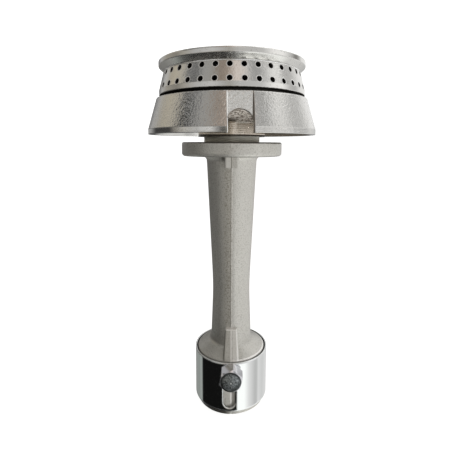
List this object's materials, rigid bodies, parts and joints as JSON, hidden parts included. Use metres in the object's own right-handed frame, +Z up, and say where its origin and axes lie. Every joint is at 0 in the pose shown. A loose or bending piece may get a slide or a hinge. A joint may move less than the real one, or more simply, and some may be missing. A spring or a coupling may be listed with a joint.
{
  "type": "catering gas burner",
  "caption": "Atmospheric gas burner: cast venturi tube with a flange, a sliding chromed air sleeve and gas jet at its foot, and a lift-off head with a conical cup, ported crown and rimmed cap.",
  "frame": {"origin": "centre of the foot's underside, where the burner stands", "axes": "+Z up along the venturi's axis; the lock screw and the pilot notch face -Y; +X to the right seen from the front"},
  "size_m": [0.12, 0.12, 0.2526],
  "materials": {
    "casting": "shot-blasted warm grey casting",
    "polished_chrome": "bright polished chrome",
    "satin_plate": "satin plated casting with fine grain",
    "zinc": "zinc-plated steel",
    "jet_brass": "turned brass"
  },
  "bodies": {
    "venturi": {"venturi_body": "casting", "jet_holder": "jet_brass", "jet_holder_washer": "zinc", "jet_holder_nut": "jet_brass", "gas_jet": "jet_brass"},
    "sleeve": {"air_sleeve": "polished_chrome"},
    "clamp_washer": {"lock_washer": "zinc"},
    "clamp_screw": {"lock_screw": "zinc"},
    "cup": {"burner_cup": "satin_plate", "locating_pins": "zinc"},
    "crown": {"crown_ring": "satin_plate"},
    "cap": {"crown_cap": "satin_plate"}
  },
  "joints": [
    {"name": "sleeve_slide", "type": "slide", "parent": "venturi", "child": "sleeve", "axis": [0, 0, 1], "range_m": [0, 0.0225]},
    {"name": "screw_advance", "type": "slide", "parent": "venturi", "child": "clamp_washer", "axis": [0, -1, 0], "range_m": [0, 0.00345]},
    {"name": "screw_turn", "type": "hinge", "parent": "clamp_washer", "child": "clamp_screw", "pos_m": [0, 0, 0.0333], "axis": [0, -1, 0], "range_deg": [0, 1080]},
    {"name": "cup_lift", "type": "slide", "parent": "venturi", "child": "cup", "axis": [0, 0, 1], "range_m": [0, 0.03]},
    {"name": "crown_lift", "type": "slide", "parent": "cup", "child": "crown", "axis": [0, 0, 1], "range_m": [0, 0.03]},
    {"name": "cap_lift", "type": "slide", "parent": "crown", "child": "cap", "axis": [0, 0, 1], "range_m": [0, 0.03]}
  ],
  "couplings": [
    {"joint": "screw_advance", "follows": "screw_turn", "m_per_rad": 0.00015915}
  ]
}
